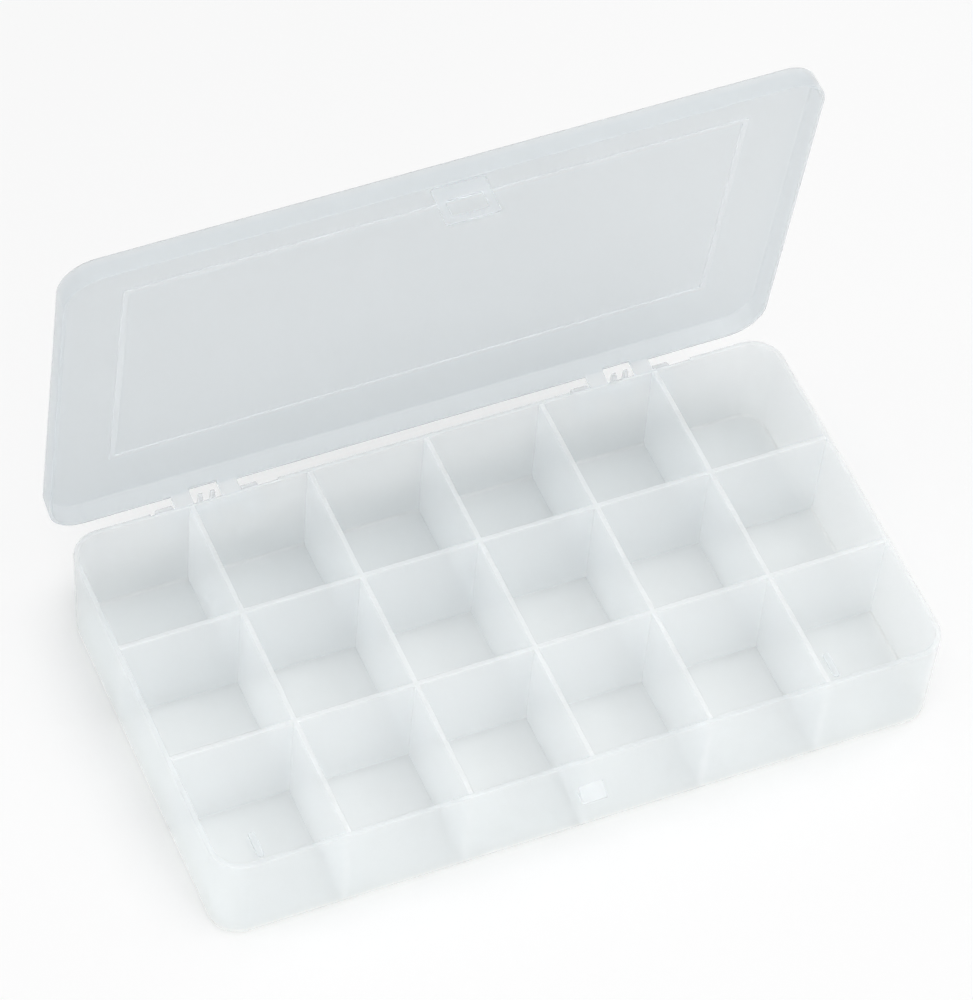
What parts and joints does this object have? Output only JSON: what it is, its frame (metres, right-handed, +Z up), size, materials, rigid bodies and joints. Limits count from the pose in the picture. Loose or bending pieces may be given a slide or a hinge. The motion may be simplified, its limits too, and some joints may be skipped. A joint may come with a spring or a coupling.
{
  "type": "small parts box",
  "caption": "Long shallow translucent box whose tray is divided into fixed compartments, with a cap lid on two snap hinges and a flexing front latch.",
  "frame": {"origin": "middle of the tray's flat underside, where the box rests", "axes": "+X along the box's length, +Y towards the hinges, +Z up"},
  "size_m": [0.212, 0.1339, 0.1431],
  "materials": {
    "tray_plastic": "milky translucent polypropylene, satin",
    "lid_plastic": "milky translucent polypropylene, satin",
    "latch_plastic": "milky translucent polypropylene, satin"
  },
  "bodies": {
    "tray": {"back_cross_divider_1": "tray_plastic", "back_cross_divider_2": "tray_plastic", "back_cross_divider_3": "tray_plastic", "back_cross_divider_4": "tray_plastic", "back_cross_divider_5": "tray_plastic", "back_cross_divider_6": "tray_plastic", "back_wall": "tray_plastic", "floor_pip_left": "tray_plastic", "floor_pip_right": "tray_plastic", "front_cross_divider_1": "tray_plastic", "front_cross_divider_2": "tray_plastic", "front_cross_divider_3": "tray_plastic", "front_cross_divider_4": "tray_plastic", "front_cross_divider_5": "tray_plastic", "front_cross_divider_6": "tray_plastic", "front_wall": "tray_plastic", "hinge_cheek_left_a": "tray_plastic", "hinge_cheek_left_b": "tray_plastic", "hinge_cheek_right_a": "tray_plastic", "hinge_cheek_right_b": "tray_plastic", "hinge_hook_left_a": "tray_plastic", "hinge_hook_left_b": "tray_plastic", "hinge_hook_right_a": "tray_plastic", "hinge_hook_right_b": "tray_plastic", "latch_catch": "tray_plastic", "left_end_wall": "tray_plastic", "long_divider_1": "tray_plastic", "long_divider_2": "tray_plastic", "long_divider_3": "tray_plastic", "long_divider_4": "tray_plastic", "long_divider_5": "tray_plastic", "right_end_wall": "tray_plastic", "tray_floor": "tray_plastic"},
    "lid": {"hinge_arm_left_a": "lid_plastic", "hinge_arm_left_b": "lid_plastic", "hinge_arm_right_a": "lid_plastic", "hinge_arm_right_b": "lid_plastic", "hinge_bar_left": "lid_plastic", "hinge_bar_right": "lid_plastic", "lid_back_skirt": "lid_plastic", "lid_frame_rib": "lid_plastic", "lid_front_skirt": "lid_plastic", "lid_left_skirt": "lid_plastic", "lid_panel": "lid_plastic", "lid_right_skirt": "lid_plastic"},
    "latch": {"latch_tongue": "latch_plastic"}
  },
  "joints": [
    {"name": "lid_hinge", "type": "hinge", "parent": "tray", "child": "lid", "pos_m": [0, 0.0616, 0.02192], "axis": [-1, 0, 0], "range_deg": [-82.8, 97.2]},
    {"name": "latch_flex", "type": "hinge", "parent": "lid", "child": "latch", "pos_m": [0, 0.05023, 0.14209], "axis": [-1, 0, 0], "range_deg": [0, 20], "stiffness_Nm_per_rad": 0.05}
  ]
}
